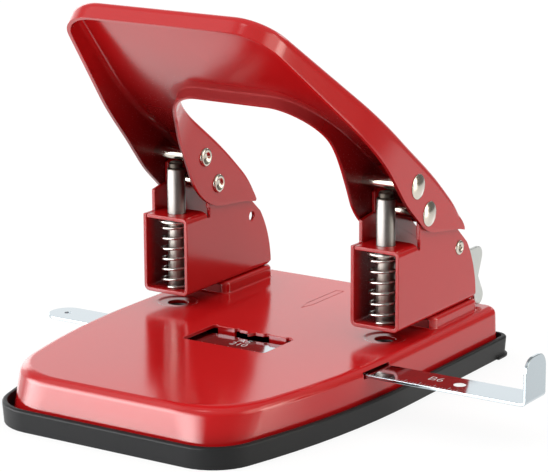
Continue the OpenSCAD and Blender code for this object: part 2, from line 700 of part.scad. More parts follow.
// Sections of the right half of the handle, from the rear end to the middle of the front
function handle_half() =
  let (bow_x = arm_out - taper_r * (1 - cos(taper_angle)),
       bow_u = taper_start + taper_r * sin(taper_angle),
       line_u = handle_reach - handle_corner_r * (1 - sin(taper_angle)),
       line_x = bow_x - (line_u - bow_u) * tan(taper_angle),
       corner_x = line_x - handle_corner_r * cos(taper_angle),
       wide = arm_in - handle_window_half,
       deep = handle_window_front - window_start,
       inner_at = function (a) [handle_window_half + wide * cos(a), window_start + deep * sin(a)],
       inward_at = function (a) -[deep * cos(a), wide * sin(a)] / norm([deep * cos(a), wide * sin(a)]),
       arm_steps = 18, bow_steps = 4, line_steps = 3, corner_steps = 7, front_steps = 3,
       turn_1 = 36, turn_2 = 63)
  concat(
    [for (i = [0:arm_steps - 1])
      let (u = -handle_tail + (window_start + handle_tail) * i / arm_steps)
      sheet_ring([arm_out, u], [1, 0], [arm_in, u], [-1, 0])],
    [for (i = [0:bow_steps - 1])
      let (a = taper_angle * i / bow_steps, w = turn_1 * i / bow_steps)
      sheet_ring([arm_out - taper_r * (1 - cos(a)), taper_start + taper_r * sin(a)], [cos(a), sin(a)],
                 inner_at(w), inward_at(w))],
    [for (i = [0:line_steps - 1])
      let (s = i / line_steps, w = turn_1 + (turn_2 - turn_1) * s)
      sheet_ring([bow_x + (line_x - bow_x) * s, bow_u + (line_u - bow_u) * s],
                 [cos(taper_angle), sin(taper_angle)], inner_at(w), inward_at(w))],
    [for (i = [0:corner_steps - 1])
      let (s = i / corner_steps, a = taper_angle + (90 - taper_angle) * s, w = turn_2 + (90 - turn_2) * s)
      sheet_ring([corner_x + handle_corner_r * cos(a), handle_reach - handle_corner_r * (1 - sin(a))],
                 [cos(a), sin(a)], inner_at(w), inward_at(w))],
    [for (i = [0:front_steps])
      let (s = 1 - i / front_steps)
      sheet_ring([corner_x * s, handle_reach], [0, 1], [handle_window_half * s, handle_window_front], [0, -1])]);

// Places something in the handle's own frame: origin on the pivot, -Y along the handle, +Z square to it
module on_handle() {
  translate([0, pivot_back, pivot_z]) rotate([-handle_slope, 0, 0]) children();
}

module handle() {
  half = handle_half();
  other = [for (i = [len(half) - 2:-1:0]) [for (p = half[i]) [-p[0], p[1], p[2]]]];
  bore_d = pin_d + 2 * press_clearance;
  color(paint_red) on_handle() difference() {
    loft(concat(half, other));
    for (place = [[0, 0], [-drive_reach, drive_rise]])
      translate([-arm_out - cut, place[0], place[1]])
        rotate([0, 90, 0]) cylinder(d = bore_d, h = 2 * (arm_out + cut));
  }
}

// Pin along X: domed head outside, rolled hollow end inside; the right one is drawn
module pin_body() {
  grip = arm_out - arm_in;
  hollow_r = pin_roll_d / 2 - 2 * pin_roll_h;
  hollow_l = 4;
  color(steel) translate([arm_in, 0, 0]) rotate([0, 90, 0]) difference() {
    union() {
      cylinder(d = pin_d, h = grip);
      translate([0, 0, grip]) rotate_extrude() dome_profile(pin_head_d, pin_head_h);
      rotate([180, 0, 0]) rotate_extrude() {
        intersection() {
          translate([pin_roll_d / 2 - pin_roll_h, 0]) circle(r = pin_roll_h);
          square([pin_roll_d, pin_roll_d]);
        }
        square([pin_roll_d / 2 - pin_roll_h, pin_roll_h * 0.9]);
      }
    }
    translate([0, 0, -pin_roll_h - cut]) cylinder(r = hollow_r, h = hollow_l + pin_roll_h + cut);
  }
}

module right_drive_pin() { translate([0, drive_y, drive_z]) pin_body(); }
module left_drive_pin() { mirror([1, 0, 0]) right_drive_pin(); }
module right_pivot_pin() { translate([0, pivot_back, pivot_z]) pin_body(); }
module left_pivot_pin() { mirror([1, 0, 0]) right_pivot_pin(); }

// Plate of the latch in Y and Z, round its pivot: a hub and two lobes behind the tower
module latch_profile() {
  upper = [latch_reach, -latch_upper_drop];
  lower = [latch_reach + latch_kick, deck_h + latch_deck_gap + latch_lower_r - latch_z];
  waist = (upper + lower) / 2;
  neck = [upper[0] / 2 - latch_gap, upper[1] / 2];
  belly = lower * 2 / 3;
  polygon(concat(arc(0, 0, latch_hub_r, 15, 225, 14),
                 [belly],
                 arc(lower[0], lower[1], latch_lower_r, 175, 395, 12),
                 [waist],
                 arc(upper[0], upper[1], latch_upper_r, -25, 100, 8),
                 [neck]));
}

module lock_latch() {
  color(chrome) translate([0, latch_pivot_back, latch_z]) difference() {
    along_x(latch_x, latch_t) latch_profile();
    translate([latch_x - cut, 0, 0])
      rotate([0, 90, 0]) cylinder(d = latch_rivet_d + 2 * pin_clearance, h = latch_t + 2 * cut);
  }
}

module latch_rivet() {
  wall_out = punch_x + tower_w / 2;
  roll_h = 0.6;
  head_gap = 0.2;
  head_h = 1;
  head_x = latch_x - head_gap;
  color(steel) translate([0, latch_pivot_back, latch_z]) rotate([0, 90, 0]) difference() {
    union() {
      translate([0, 0, head_x]) cylinder(d = latch_rivet_d, h = wall_out - head_x);
      translate([0, 0, head_x - head_h]) cylinder(d = latch_roll_d + 1.4, h = head_h);
      translate([0, 0, wall_out]) rotate_extrude() {
        intersection() {
          translate([latch_roll_d / 2 - roll_h, 0]) circle(r = roll_h);
          square([latch_roll_d, latch_roll_d]);
        }
        square([latch_roll_d / 2 - roll_h, roll_h * 0.9]);
      }
    }
    translate([0, 0, wall_out - 1.5]) cylinder(d = latch_roll_d - 4 * roll_h, h = 1.5 + roll_h + cut);
  }
}

module paper_gauge() {
  half = gauge_w / 2;
  stop_x = gauge_right - gauge_t;
  bend_x = gauge_right - gauge_bend_r;
  color(chrome) translate([0, -gauge_mid, gauge_bottom]) {
    difference() {
      linear_extrude(gauge_t)
        polygon(concat([[bend_x, -half], [bend_x, half]], arc(-gauge_left, 0, half, 90, 270, 24)));
      translate([-gauge_left, 0, -cut]) cylinder(d = gauge_hole_d, h = gauge_t + 2 * cut);
    }
    along_y(-half, gauge_w)
      polygon(concat(arc(bend_x, gauge_bend_r, gauge_bend_r, -90, 0, 6),
                     arc(bend_x, gauge_bend_r, gauge_bend_r - gauge_t, 0, -90, 6)));
    along_x(stop_x, gauge_t)
      polygon(concat([[-half, gauge_bend_r], [half, gauge_bend_r]],
                     arc(half - gauge_stop_r, gauge_stop_h - gauge_stop_r, gauge_stop_r, 0, 90, 8),
                     arc(gauge_stop_r - half, gauge_stop_h - gauge_stop_r, gauge_stop_r, 90, 180, 8)));
  }
}

// Leaf bridges under the deck: two feet on the deck and a sagging middle that carries the strip
module gauge_springs() {
  hold = gauge_w / 2 + gauge_clearance;
  rise = 1.9;
  low = gauge_bottom - leaf_gap;
  color(steel) for (side = [-1, 1])
    translate([0, -gauge_mid, 0]) along_x(side * leaf_x - leaf_w / 2, leaf_w)
      polygon([[-hold - rise - leaf_foot, deck_under], [-hold - rise - leaf_foot, deck_under - leaf_t],
               [-hold - rise, deck_under - leaf_t], [-hold, low - leaf_t],
               [hold, low - leaf_t], [hold + rise, deck_under - leaf_t],
               [hold + rise + leaf_foot, deck_under - leaf_t], [hold + rise + leaf_foot, deck_under],
               [hold + rise - leaf_t / 2, deck_under], [hold - leaf_t / 2, low],
               [leaf_t / 2 - hold, low], [leaf_t / 2 - hold - rise, deck_under]]);
}

chip_tray();
base_cover();
left_die();
right_die();
left_tower();
right_tower();
tower_rivets();
left_punch();
right_punch();
left_spring();
right_spring();
left_washer();
right_washer();
left_clip();
right_clip();
handle();
left_drive_pin();
right_drive_pin();
left_pivot_pin();
right_pivot_pin();
lock_latch();
latch_rivet();
paper_gauge();
gauge_springs();
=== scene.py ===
import json
import math

import bmesh
import bpy
from mathutils import Matrix, Vector

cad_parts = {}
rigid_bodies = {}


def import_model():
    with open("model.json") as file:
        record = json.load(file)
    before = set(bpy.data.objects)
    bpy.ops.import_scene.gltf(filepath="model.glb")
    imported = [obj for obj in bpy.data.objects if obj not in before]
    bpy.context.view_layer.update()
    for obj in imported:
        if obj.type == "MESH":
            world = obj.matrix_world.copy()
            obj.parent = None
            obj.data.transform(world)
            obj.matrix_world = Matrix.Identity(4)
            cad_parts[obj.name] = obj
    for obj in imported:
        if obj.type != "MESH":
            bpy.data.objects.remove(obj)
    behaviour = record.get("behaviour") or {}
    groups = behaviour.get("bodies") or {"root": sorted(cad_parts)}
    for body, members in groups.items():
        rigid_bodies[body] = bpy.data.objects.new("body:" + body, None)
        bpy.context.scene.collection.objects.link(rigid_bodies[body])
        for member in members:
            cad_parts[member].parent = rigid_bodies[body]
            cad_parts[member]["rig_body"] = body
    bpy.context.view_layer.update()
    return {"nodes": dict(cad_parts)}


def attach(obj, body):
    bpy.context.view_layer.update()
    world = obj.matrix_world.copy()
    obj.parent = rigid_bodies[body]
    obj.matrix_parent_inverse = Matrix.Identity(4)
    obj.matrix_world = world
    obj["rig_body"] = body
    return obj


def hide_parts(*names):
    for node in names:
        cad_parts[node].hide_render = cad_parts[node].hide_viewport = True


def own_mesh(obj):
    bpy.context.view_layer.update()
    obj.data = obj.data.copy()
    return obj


for leftover in list(bpy.data.objects):
    bpy.data.objects.remove(leftover)
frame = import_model()

MM = 0.001

# Sizes in millimetres as in the part's source and record, with places that the source works out
PUNCH_X = 40.0
DECK_H = 17.0
PAPER_STOP = 14.8
SPRING_FOOT, SPRING_TOP = 22.45, 44.45
SPRING_D = 11.2
SPRING_WIRE = 1.1
PUNCH_R = 3.0
PUNCH_TIP = 21.3
PUNCH_TOP = 64.42
PUNCH_SHOULDER = 62.62
NECK_R = 2.3
CLIP_GROOVE = (45.2, 45.9)
GROOVE_R = 2.4
PIVOT = (9.5, 56.5)
DRIVE = (2.25, 66.62)
LATCH_PIVOT = (31.5, 40.6)
PIN_R = 2.1
PIN_HEAD_R = 4.0
PIN_HEAD_H = 1.1
GAUGE_MID = -25.3
GAUGE_W = 12.6
GAUGE_TOP = 15.0
POINTER_X = 0.9
SLOT_EDGE_X = 53.2
STOP_FACE = 105.5
HANDLE_SLOPE = math.radians(39.0)
SHEET = 1.2
ARM_OUT, ARM_IN = 50.2, 29.8
HANDLE_TAIL = 24.0
PLATE_FALL = 0.6
TAIL_BEND = 11.0
TAIL_DROP = 2.7
TAPER_START = 28.0
TAPER = math.radians(13.5)
TAPER_R = 110.0
CORNER_R = 15.0
WINDOW_START, WINDOW_FRONT = 24.0, 50.5
WINDOW_HALF = 13.0

# Height at which the punch starts to narrow to its neck
NECK_FOOT = PUNCH_SHOULDER - 0.6

# Handle sizes a hair under the source's, so that the sheet stays inside the solid's box
HANDLE_REACH = 99.74
PLATE_RISE = 10.765

# Handle forms that the solid doesn't have: tighter folds, and a plate that arches over the hinge
FOLD_OUT, FOLD_IN = 3.2, 1.8
LEAST_FOLD = 1.25 * SHEET
ARM_ARCH, ARCH_AT, ARCH_WIDTH = 1.25, 3.0, 20.0

# Lower edges of the handle's flanges: distance along the handle, height over the pivot
OUTER_EDGE = ((-24, 6.6), (-21, 5.3), (-13, 0.6), (-5, -3.9), (0, -5), (6, -4.9), (14, -4.5),
              (22, -3), (30, -1.4), (40, -0.2), (56, 1.1), (99.8, 4.2))
INNER_EDGE = ((-24, 5.9), (-15.5, 1), (-6.6, -4.9), (-1.8, -7.2), (5, -8.1), (12, -6.9), (18, -4),
              (26, -0.2), (34, 3.6), (40, 4.8), (50.5, 5.3))


# Shader values and looks
class Wire:
    """A value in a look; arithmetic on it adds Math nodes."""

    def __init__(self, look, socket):
        self.look = look
        self.socket = socket

    def _math(self, operation, first, second):
        return self.look.add("ShaderNodeMath", {"operation": operation}, {0: first, 1: second})

    def __add__(self, other):
        return self._math("ADD", self, other)

    def __radd__(self, other):
        return self._math("ADD", other, self)

    def __sub__(self, other):
        return self._math("SUBTRACT", self, other)

    def __rsub__(self, other):
        return self._math("SUBTRACT", other, self)

    def __mul__(self, other):
        return self._math("MULTIPLY", self, other)

    def __rmul__(self, other):
        return self._math("MULTIPLY", other, self)

    def __truediv__(self, other):
        return self._math("DIVIDE", self, other)

    def __mod__(self, other):
        return self._math("FLOORED_MODULO", self, other)

    def __lt__(self, other):
        return self._math("LESS_THAN", self, other)

    def __gt__(self, other):
        return self._math("GREATER_THAN", self, other)

    def __abs__(self):
        return self._math("ABSOLUTE", self, 0.0)


class Look:
    """A node tree; add() places any node: its type, its settings, then its sockets."""

    def __init__(self, owner):
        owner.use_nodes = True
        self.owner = owner
        self.tree = owner.node_tree
        self.tree.nodes.clear()

    def add(self, kind, settings=None, sockets=None, out=0):
        node = self.tree.nodes.new(kind)
        for key, value in (settings or {}).items():
            setattr(node, key, value)
        for key, value in (sockets or {}).items():
            if isinstance(value, Wire):
                self.tree.links.new(value.socket, node.inputs[key])
            else:
                node.inputs[key].default_value = value
        return Wire(self, node.outputs[out]) if node.outputs else None

    def split(self, vector):
        """The three parts of a vector."""
        first = self.add("ShaderNodeSeparateXYZ", {}, {"Vector": vector})
        return [Wire(self, socket) for socket in first.socket.node.outputs]

    def place(self, stretch=(1, 1, 1)):
        """Object coordinates, stretched."""
        spot = self.add("ShaderNodeTexCoord", out="Object")
        return self.add("ShaderNodeMapping", {}, {"Vector": spot, "Scale": stretch})

    def axes(self, turn=0.0, centre=(0, 0, 0)):
        """The three Object coordinates in millimetres, from a centre and turned about the X axis."""
        back = Matrix.Rotation(turn, 3, "X") @ Vector(centre) * -1
        spot = self.add("ShaderNodeTexCoord", out="Object")
        own = self.add("ShaderNodeMapping", {}, {"Vector": spot, "Scale": (1 / MM, 1 / MM, 1 / MM),
                                                 "Rotation": (turn, 0, 0), "Location": back})
        return self.split(own)

    def larger(self, first, second):
        return self.add("ShaderNodeMath", {"operation": "MAXIMUM"}, {0: first, 1: second})

    def fade(self, value, low, high, kind="SMOOTHSTEP"):
        """Nought up to a low bound, one from a high bound on."""
        return self.add("ShaderNodeMapRange", {"interpolation_type": kind, "clamp": True},
                        {"Value": value, "From Min": low, "From Max": high})

    def toward(self, place, azimuth, elevation):
        """How far a place lies in a direction."""
        return self.add("ShaderNodeVectorMath", {"operation": "DOT_PRODUCT"},
                        {0: place, 1: direction(azimuth, elevation)}, out="Value")

    def ray(self, *kinds):
        """One where the ray is of any of these kinds."""
        seen = self.add("ShaderNodeLightPath", out=kinds[0])
        for kind in kinds[1:]:
            seen = self.larger(seen, self.add("ShaderNodeLightPath", out=kind))
        return seen

    def noise(self, place, scale, detail, roughness=0.5):
        return self.add("ShaderNodeTexNoise", {}, {"Vector": place, "Scale": scale, "Detail": detail,
                                                   "Roughness": roughness})

    def mix(self, low, high, factor):
        """A colour between two."""
        return self.add("ShaderNodeMix", {"data_type": "RGBA"}, {0: factor, 6: low, 7: high}, out=2)

    def blend(self, low, high, factor):
        """A shader between two."""
        return self.add("ShaderNodeMixShader", {}, {0: factor, 1: low, 2: high})

    def bump(self, height, strength, depth):
        return self.add("ShaderNodeBump", {}, {"Height": height, "Strength": strength, "Distance": depth})

    def skin(self, **sockets):
        """Ends the tree in one Principled surface."""
        named = {key.replace("_", " "): value for key, value in sockets.items()}
        surface = self.add("ShaderNodeBsdfPrincipled", {}, named)
        self.add("ShaderNodeOutputMaterial", {}, {"Surface": surface})
        return self.owner


def new_look(name):
    return Look(bpy.data.materials.new(name))


def colour(red, green, blue):
    return (red, green, blue, 1.0)


def direction(azimuth, elevation):
    """Direction by its angle from the front, right positive, and its height over the table, in degrees."""
    turn, lift = math.radians(azimuth), math.radians(elevation)
    return Vector((math.sin(turn) * math.cos(lift), -math.cos(turn) * math.cos(lift), math.sin(lift)))


def between(value, low, high):
    """One between two bounds, nought outside them."""
    return (value > low) * (value < high)


# Colours, a pair where a finish wanders from dark to light
WHITE = colour(1, 1, 1)
ENAMEL = (colour(0.43, 0.006, 0.007), colour(0.48, 0.008, 0.01))
# Painted shade: dark red for the hollows of the towers' boxes and the handle's arms
HOLLOW_SHADE_ENAMEL = colour(0.07, 0.002, 0.003)
# Painted shade: near-black for the paper stops in the gap under the towers
STOP_SHADE_ENAMEL = colour(0.025, 0.003, 0.003)
PLASTIC = (colour(0.009, 0.0095, 0.0105), colour(0.014, 0.0145, 0.0155))
GROUND_STEEL = (colour(0.16, 0.15, 0.143), colour(0.3, 0.284, 0.271))
PAINTED_LIGHT_STEEL = colour(0.46, 0.43, 0.39)
DARK_NECK_STEEL = colour(0.07, 0.06, 0.05)
BRIGHT_CHROME = colour(0.48, 0.54, 0.575)
FROSTED_CHROME = colour(0.74, 0.76, 0.78)
ETCHED = (colour(0.62, 0.63, 0.64), colour(0.8, 0.8, 0.8))

# Where shade is painted, in millimetres: in the boxes of the towers and on the paper stops
BOX_HALF, BOX_HEIGHTS, BOX_SHADE, BOX_BACK = 8.1, (21.0, 46.2), (-6.7, -1.0), 12.0
STOP_HALF, STOP_HEIGHTS, STOP_DEPTH = 9.5, (17.4, 21.0), 0.2
# In the handle's arms, in millimetres: shade and dry corner along the handle, skin that stays bright; and the
# ring of that corner, a squared distance that is one at the window's edge
ARM_SHADE, CORNER_DRY, ARM_SKIN = (-85.0, -5.0), (-48.0, -38.0), 0.1
CORNER_RING = (1.05, 1.45)

# Scale on the gauge in millimetres: ends, clear edge, where it counts from; and spacing, width and length
# of its ticks
SCALE_ENDS, SCALE_EDGE, SCALE_FROM = (-34.0, 84.0), 0.25, -499.98
FINE_TICKS, FIFTH_TICKS = (1.0, 0.16, 1.3), (5.0, 0.2, 2.4)


def red_paint(name, thin, stop_shade=None):
    """Stove enamel on pressed steel: even red, faint orange peel, a little dust in the gloss; painted shade,
    dark red in the hollows, and near-black metal painted as shade on the paper stops."""
    look = new_look(name)
    place = look.place()
    cloud = look.noise(place, scale=28, detail=3)
    peel = look.noise(place, scale=480, detail=2)
    dust = look.fade(look.noise(place, scale=2400, detail=1), low=0.68, high=0.76, kind="LINEAR")
    deep, dry = thin(look)
    # Painted shade: the hollows turn to dark red, deepest inside the towers' boxes and the handle's arms
    tone = look.mix(look.mix(*ENAMEL, cloud), HOLLOW_SHADE_ENAMEL, 0.8 * deep)
    rough = 0.125 + 0.045 * cloud + 0.1 * dust + 0.12 * deep + 0.5 * dry
    stop_metallic = 0.0
    # Painted shade on the paper stops: near-black shiny metal in place of the shadow in the gap under the
    # towers
    if stop_shade:
        stop_shade_mask = stop_shade(look)
        tone = look.mix(tone, STOP_SHADE_ENAMEL, 0.95 * stop_shade_mask)
        rough += 0.25 * stop_shade_mask
        stop_metallic = 0.95 * stop_shade_mask
    return look.skin(Base_Color=tone, Roughness=rough, Metallic=stop_metallic, IOR=1.56,
                     Normal=look.bump(peel, strength=0.06, depth=0.0001))


def inside_towers(look):
    """Painted shade in the boxes round the springs, from their front inwards, and how dry the paint is: not
    at all.
    """
    x, y, z = look.axes()
    in_box = (abs(abs(x) - PUNCH_X) < BOX_HALF) * between(z, *BOX_HEIGHTS) * (y < BOX_BACK)
    return in_box * look.fade(y, *BOX_SHADE), 0.0


def paper_stops(look):
    """One on the ledge ends that the paper is pushed against, where shade is painted."""
    x, y, z = look.axes()
    on_face = (abs(y - PAPER_STOP) < STOP_DEPTH) * between(z, *STOP_HEIGHTS)
    return on_face * (abs(abs(x) - PUNCH_X) < STOP_HALF)


def arm_channels(look):
    """Painted shade in the hollow arms of the handle, most near its hinge, and how dry the paint is: most in
    the corner behind the window's front flange."""
    def past(value):
        return look.larger(value, 0.0)

    x, y, z = look.axes(HANDLE_SLOPE, (0, *PIVOT))
    past_bow = past(-TAPER_START - y)
    past_window = past(-WINDOW_START - y) / (WINDOW_FRONT - WINDOW_START + SHEET / 2)
    from_middle = past(abs(x) - WINDOW_HALF) / (ARM_IN - WINDOW_HALF + SHEET / 2)
    ring = from_middle * from_middle + past_window * past_window
    curl = past(y - TAIL_BEND) / (HANDLE_TAIL - TAIL_BEND)
    level = z + TAIL_DROP * curl * curl + PLATE_FALL / (ARM_OUT - ARM_IN) * (ARM_OUT - abs(x))
    to_side = past(abs(x) + past_bow * past_bow / (2 * TAPER_R) - (ARM_OUT - FOLD_OUT))
    to_top = past(level - (PLATE_RISE - FOLD_OUT))
    in_walls = (ring > 1.0) * (to_side * to_side + to_top * to_top < (FOLD_OUT - ARM_SKIN) ** 2)
    front_corner = (1 - look.fade(ring, *CORNER_RING)) * (1 - look.fade(y, *CORNER_DRY))
    return in_walls * look.fade(y, *ARM_SHADE), in_walls * front_corner


def tray_plastic():
    """Moulded black plastic with a fine spark-eroded grain."""
    look = new_look("tray_plastic")
    place = look.place()
    grain = look.noise(place, scale=1900, detail=2, roughness=0.6)
    cloud = look.noise(place, scale=55, detail=3)
    return look.skin(Base_Color=look.mix(*PLASTIC, cloud), Roughness=0.4 + 0.12 * grain,
                     Specular_IOR_Level=0.22, Normal=look.bump(grain, strength=0.16, depth=0.00006))


def bare_metal(name, dark, light, roughness, scale):
    """Bare or plated steel: a fine grain in its tone and gloss, and faint clouds."""
    look = new_look(name)
    place = look.place()
    grain = look.noise(place, scale, detail=4, roughness=0.65)
    cloud = look.noise(place, scale=160, detail=3)
    least, most = roughness
    return look.skin(Base_Color=look.mix(colour(*dark), colour(*light), 0.6 * grain + 0.4 * cloud),
                     Metallic=1.0, Roughness=least + (most - least) * grain,
                     Normal=look.bump(grain, strength=0.12, depth=0.00003))


def punch_steel():
    """Ground bar: fine rings from the grinding, drawn marks along it; painted light makes it lighter inside
    the spring, and the neck at the top is darker."""
    look = new_look("punch_steel")
    height = look.axes()[2]
    rings = look.noise(look.place(stretch=(1, 1, 18)), scale=420, detail=4, roughness=0.65)
    drawn = look.noise(look.place(stretch=(22, 22, 1)), scale=160, detail=3)
    ground = look.mix(*GROUND_STEEL, 0.5 * rings + 0.5 * drawn)
    # Painted light: the bar is lighter below the clip's groove, inside the spring
    bar = look.mix(ground, PAINTED_LIGHT_STEEL, 0.7 * (height < CLIP_GROOVE[0]))
    # The neck above the shoulder is darker
    return look.skin(Base_Color=look.mix(bar, DARK_NECK_STEEL, height > NECK_FOOT), Metallic=1.0,
                     Roughness=0.36 + 0.14 * rings, Normal=look.bump(rings, strength=0.1, depth=0.00002))


def gauge_chrome():
    """Bright chrome with a frosted millimetre scale along the front edge of the strip."""
    look = new_look("gauge_chrome")
    along, across, _ = look.axes()
    from_edge = across - (GAUGE_MID - GAUGE_W / 2)

    def ticks(spacing, width, length):
        return ((along + (width / 2 - SCALE_FROM)) % spacing < width) * (from_edge < length)

    on_scale = between(along, *SCALE_ENDS) * (from_edge > SCALE_EDGE)
    tick = look.larger(ticks(*FINE_TICKS), ticks(*FIFTH_TICKS)) * on_scale
    smear = look.noise(look.place(stretch=(1, 3, 1)), scale=90, detail=3)
    return look.skin(Base_Color=look.mix(BRIGHT_CHROME, FROSTED_CHROME, tick), Metallic=1.0,
                     Roughness=0.05 + 0.05 * smear + 0.5 * tick)


def frosted_mark():
    """Etched sign on the chrome."""
    look = new_look("frosted_mark")
    grain = look.noise(look.place(), scale=3000, detail=2)
    return look.skin(Base_Color=look.mix(*ETCHED, grain), Roughness=0.5 + 0.2 * grain)


# Finishes; a bare metal has its dark and light tone, its least and most roughness, and the scale of its grain
RED = red_paint("red_paint", inside_towers, paper_stops)
HANDLE_RED = red_paint("handle_red_paint", arm_channels)
TRAY = tray_plastic()
DIE = bare_metal("die_steel", (0.1, 0.1, 0.105), (0.2, 0.2, 0.21), (0.3, 0.5), 900)
RIVET = bare_metal("rivet_steel", (0.46, 0.44, 0.4), (0.62, 0.6, 0.55), (0.2, 0.36), 700)
PUNCH = punch_steel()
SPRING = bare_metal("spring_steel", (0.32, 0.305, 0.285), (0.5, 0.48, 0.45), (0.2, 0.32), 800)
PIN = bare_metal("pin_nickel", (0.5, 0.455, 0.395), (0.62, 0.575, 0.505), (0.12, 0.24), 650)
LATCH = bare_metal("latch_zinc", (0.5, 0.52, 0.5), (0.64, 0.66, 0.64), (0.28, 0.45), 300)
CHROME = gauge_chrome()
MARK = frosted_mark()


# Pieces
def piece(name, shape, body, material, angle=32, replaces=()):
    """Makes an object of a shape that is already in its place, and joins it to the frame."""
    mesh = bpy.data.meshes.new(name)
    shape.to_mesh(mesh)
    shape.free()
    for stale in ("custom_normal", "sharp_face", "sharp_edge"):
        if stale in mesh.attributes:
            mesh.attributes.remove(mesh.attributes[stale])
    mesh.materials.append(material)
    mesh.shade_smooth()
    mesh.set_sharp_from_angle(angle=math.radians(angle))
    made = bpy.data.objects.new(name, mesh)
    bpy.context.scene.collection.objects.link(made)
    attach(made, body)
    if replaces:
        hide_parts(*replaces)
    return made


def bevelled(made, name, width, angle, segments):
    """Rounds the edges that are sharper than an angle."""
    bevel = made.modifiers.new(name, "BEVEL")
    bevel.width = width * MM
    bevel.segments = segments
    bevel.limit_method = "ANGLE"
    bevel.angle_limit = math.radians(angle)
    return bevel


def round_edges(made, width, angle=40, segments=3):
    """Breaks the sharp edges and keeps flat faces flat in the light."""
    bevelled(made, "broken_edges", width, angle, segments).use_clamp_overlap = False
    made.modifiers.new("flat_faces", "WEIGHTED_NORMAL")


def merged(node):
    """A copy of a CAD piece with its loose triangles joined."""
    shape = bmesh.new()
    shape.from_mesh(frame["nodes"][node].data)
    bmesh.ops.remove_doubles(shape, verts=shape.verts[:], dist=0.002 * MM)
    bmesh.ops.dissolve_limit(shape, angle_limit=math.radians(0.4), verts=shape.verts[:],
                             edges=shape.edges[:], use_dissolve_boundaries=False)
    return shape


def finished(node, material, edge=0.0, angle=32):
    """The CAD piece with its triangles merged, smoothed, and its edges broken."""
    body = frame["nodes"][node]["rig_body"]
    made = piece(node + "_finished", merged(node), body, material, angle, [node])
    if edge:
        round_edges(made, edge)


# Fillet at the foot of the ledges, in millimetres, and the line on the deck behind which it goes
FOOT_FILLET, FOOT_FROM = 0.55, 14.0


def soft_cover():
    """The drawn cover: the CAD piece with a small fillet where the ledges rise from the deck."""
    shape = merged("base_cover")
    shape.normal_update()

    def on_deck(corner):
        return abs(corner.co.z - DECK_H * MM) < 0.02 * MM and corner.co.y > FOOT_FROM * MM

    def at_ledge_foot(edge):
        flat = sorted(abs(face.normal.z) for face in edge.link_faces)
        between_deck_and_wall = len(flat) == 2 and flat[0] < 0.2 and flat[1] > 0.99
        return between_deck_and_wall and all(on_deck(corner) for corner in edge.verts)

    foot = [edge for edge in shape.edges if at_ledge_foot(edge)]
    bmesh.ops.bevel(shape, geom=foot, offset=FOOT_FILLET * MM, offset_type="OFFSET", segments=5, profile=0.5,
                    affect="EDGES", clamp_overlap=False, material=-1)
    made = piece("base_cover_finished", shape, "base_body", RED, angle=34,
                 replaces=["base_cover"])
    round_edges(made, width=0.22)


# The handle: a grid of steps along its right half, mirrored, and of cells across its sheet
ARM_STEPS, BOW_STEPS, LINE_STEPS, CORNER_STEPS, FRONT_STEPS = 34, 12, 8, 20, 8
HALF_STEPS = ARM_STEPS + BOW_STEPS + LINE_STEPS + CORNER_STEPS + FRONT_STEPS
FLANGE_CELLS, FOLD_CELLS, PLATE_CELLS = 7, 9, 12
ACROSS = 2 * FLANGE_CELLS + 2 * FOLD_CELLS + PLATE_CELLS

# Its outline: where the bow meets the straight side, where that meets the corner, the corner's centre, and
# how far round the window's front corner the bow and the straight side go
BOW_X = ARM_OUT - TAPER_R * (1 - math.cos(TAPER))
BOW_ALONG = TAPER_START + TAPER_R * math.sin(TAPER)
LINE_ALONG = HANDLE_REACH - CORNER_R * (1 - math.sin(TAPER))
LINE_X = BOW_X - (LINE_ALONG - BOW_ALONG) * math.tan(TAPER)
CORNER_X = LINE_X - CORNER_R * math.cos(TAPER)
BOW_TURN, LINE_TURN, CORNER_TURN = math.radians(36), math.radians(63), math.pi / 2


def curve(table, place):
    """Height of a smooth curve through a table of places and heights."""
    last = len(table) - 1
    start = next((k for k in range(last - 1) if place < table[k + 1][0]), last - 1)

    def slope(k):
        before, after = table[max(k - 1, 0)], table[min(k + 1, last)]
        return (after[1] - before[1]) / (after[0] - before[0])

    (from_place, low), (to_place, high) = table[start], table[start + 1]
    width = to_place - from_place
    part = (place - from_place) / width
    rest = 1 - part
    return (low * (1 + 2 * part) * rest ** 2 + high * part * part * (3 - 2 * part)
            + width * (slope(start) * part * rest ** 2 - slope(start + 1) * part * part * rest))


def plate_top(along):
    """Height of the handle's plate at its outer edge: arched over the hinge, curled down at the tail."""
    curl = max(0.0, -along - TAIL_BEND) / (HANDLE_TAIL - TAIL_BEND)
    return PLATE_RISE + ARM_ARCH * math.exp(-((along - ARCH_AT) / ARCH_WIDTH) ** 2) - TAIL_DROP * curl * curl


def fold_radius(radius, flange):
    return min(radius, max(LEAST_FOLD, flange / 2))


def round_point(turn):
    return math.cos(turn), math.sin(turn)


def window_edge(turn):
    """Point of the window's front corner, and the direction out of the sheet there."""
    wide, deep = ARM_IN - WINDOW_HALF, WINDOW_FRONT - WINDOW_START
    away = Vector((deep * math.cos(turn), wide * math.sin(turn))).normalized()
    point = WINDOW_HALF + wide * math.cos(turn), WINDOW_START + deep * math.sin(turn)
    return point, (-away[0], -away[1])


